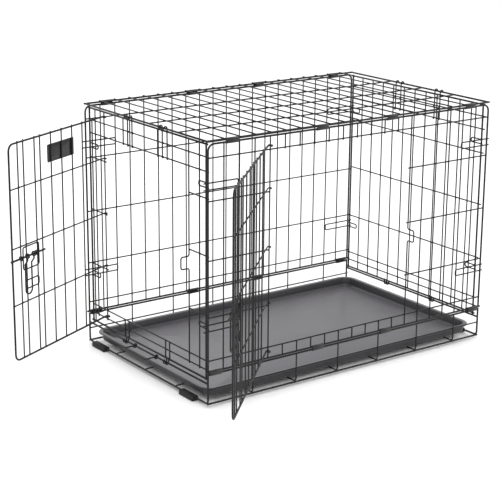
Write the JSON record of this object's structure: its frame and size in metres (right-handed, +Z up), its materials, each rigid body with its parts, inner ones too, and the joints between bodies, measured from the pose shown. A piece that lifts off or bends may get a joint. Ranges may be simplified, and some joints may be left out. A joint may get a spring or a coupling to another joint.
{
  "type": "wire dog crate",
  "caption": "Folding wire pet crate: grid panels, side door and end door on wire eyes with slide bolts, pull-out pan, rubber-sleeved base.",
  "frame": {"origin": "on the floor plane under the middle of the crate body, doors not counted", "axes": "+X along the crate away from the end with a door, -Y towards the long side with a door, +Z up"},
  "size_m": [1.0693, 0.7512, 0.5624],
  "materials": {
    "wire": "satin black e-coat",
    "bolt": "satin black e-coat, rubbed",
    "clip": "satin black",
    "pan": "fine-grained satin dark grey",
    "plate": "semi-gloss black",
    "rubber": "matt black"
  },
  "bodies": {
    "frame": {"base_floor": "wire", "base_front_lip": "wire", "base_rear_lip": "wire", "base_left_rail": "wire", "base_right_rail": "wire", "feet": "rubber", "front_left_grille": "wire", "front_header": "wire", "front_sill": "wire", "front_right_grille": "wire", "front_keeper": "wire", "rear_panel": "wire", "top_panel": "wire", "left_rear_stile": "wire", "left_header": "wire", "left_sill": "wire", "left_front_stile": "wire", "end_keeper": "wire", "left_hooks": "wire", "left_rings": "wire", "left_catches": "wire", "front_hairpins": "wire", "rear_hairpins": "wire", "top_front_clips": "clip", "top_rear_clips": "clip", "bottom_front_clips": "clip", "bottom_rear_clips": "clip"},
    "right_end": {"right_end_panel": "wire", "right_hooks": "wire", "right_rings": "wire", "right_catches": "wire"},
    "pan": {"pan": "pan"},
    "pan_stop": {"pan_stop": "wire"},
    "front_door": {"front_door": "wire", "front_guide": "wire", "front_staple": "wire"},
    "front_bolt": {"front_bolt": "bolt"},
    "front_handle": {"front_handle": "bolt"},
    "end_door": {"end_door": "wire", "end_guide": "wire", "end_staple": "wire", "name_plate": "plate"},
    "end_bolt": {"end_bolt": "bolt"},
    "end_handle": {"end_handle": "bolt"}
  },
  "joints": [
    {"name": "front_door_swing", "type": "hinge", "parent": "frame", "child": "front_door", "pos_m": [-0.22734, -0.2394, 0.302], "axis": [0, 0, 1], "range_deg": [-30, 135.7]},
    {"name": "front_bolt_slide", "type": "slide", "parent": "front_door", "child": "front_bolt", "axis": [-0.7157, -0.6984, 0], "range_m": [0, 0.018]},
    {"name": "front_handle_swing", "type": "hinge", "parent": "front_bolt", "child": "front_handle", "pos_m": [-0.45, -0.43705, 0.28531], "axis": [0.7157, 0.6984, 0], "range_deg": [0, 150]},
    {"name": "end_door_swing", "type": "hinge", "parent": "frame", "child": "end_door", "pos_m": [-0.3749, 0.1653, 0.305], "axis": [0, 0, 1], "range_deg": [-98, 64]},
    {"name": "end_bolt_slide", "type": "slide", "parent": "end_door", "child": "end_bolt", "axis": [-0.8988, -0.4384, 0], "range_m": [0, 0.018]},
    {"name": "end_handle_swing", "type": "hinge", "parent": "end_bolt", "child": "end_handle", "pos_m": [-0.60495, 0.06873, 0.2931], "axis": [0.8988, 0.4384, 0], "range_deg": [0, 150]},
    {"name": "pan_slide", "type": "slide", "parent": "frame", "child": "pan", "axis": [-1, 0, 0], "range_m": [0, 0.7]},
    {"name": "pan_stop_swing", "type": "hinge", "parent": "frame", "child": "pan_stop", "pos_m": [-0.3789, 0, 0.052], "axis": [0, 1, 0], "range_deg": [-90, 0]},
    {"name": "right_end_fold", "type": "hinge", "parent": "frame", "child": "right_end", "pos_m": [0.3789, 0, 0.052], "axis": [0, -1, 0], "range_deg": [0, 88], "deforming": ["right_hooks"]}
  ]
}
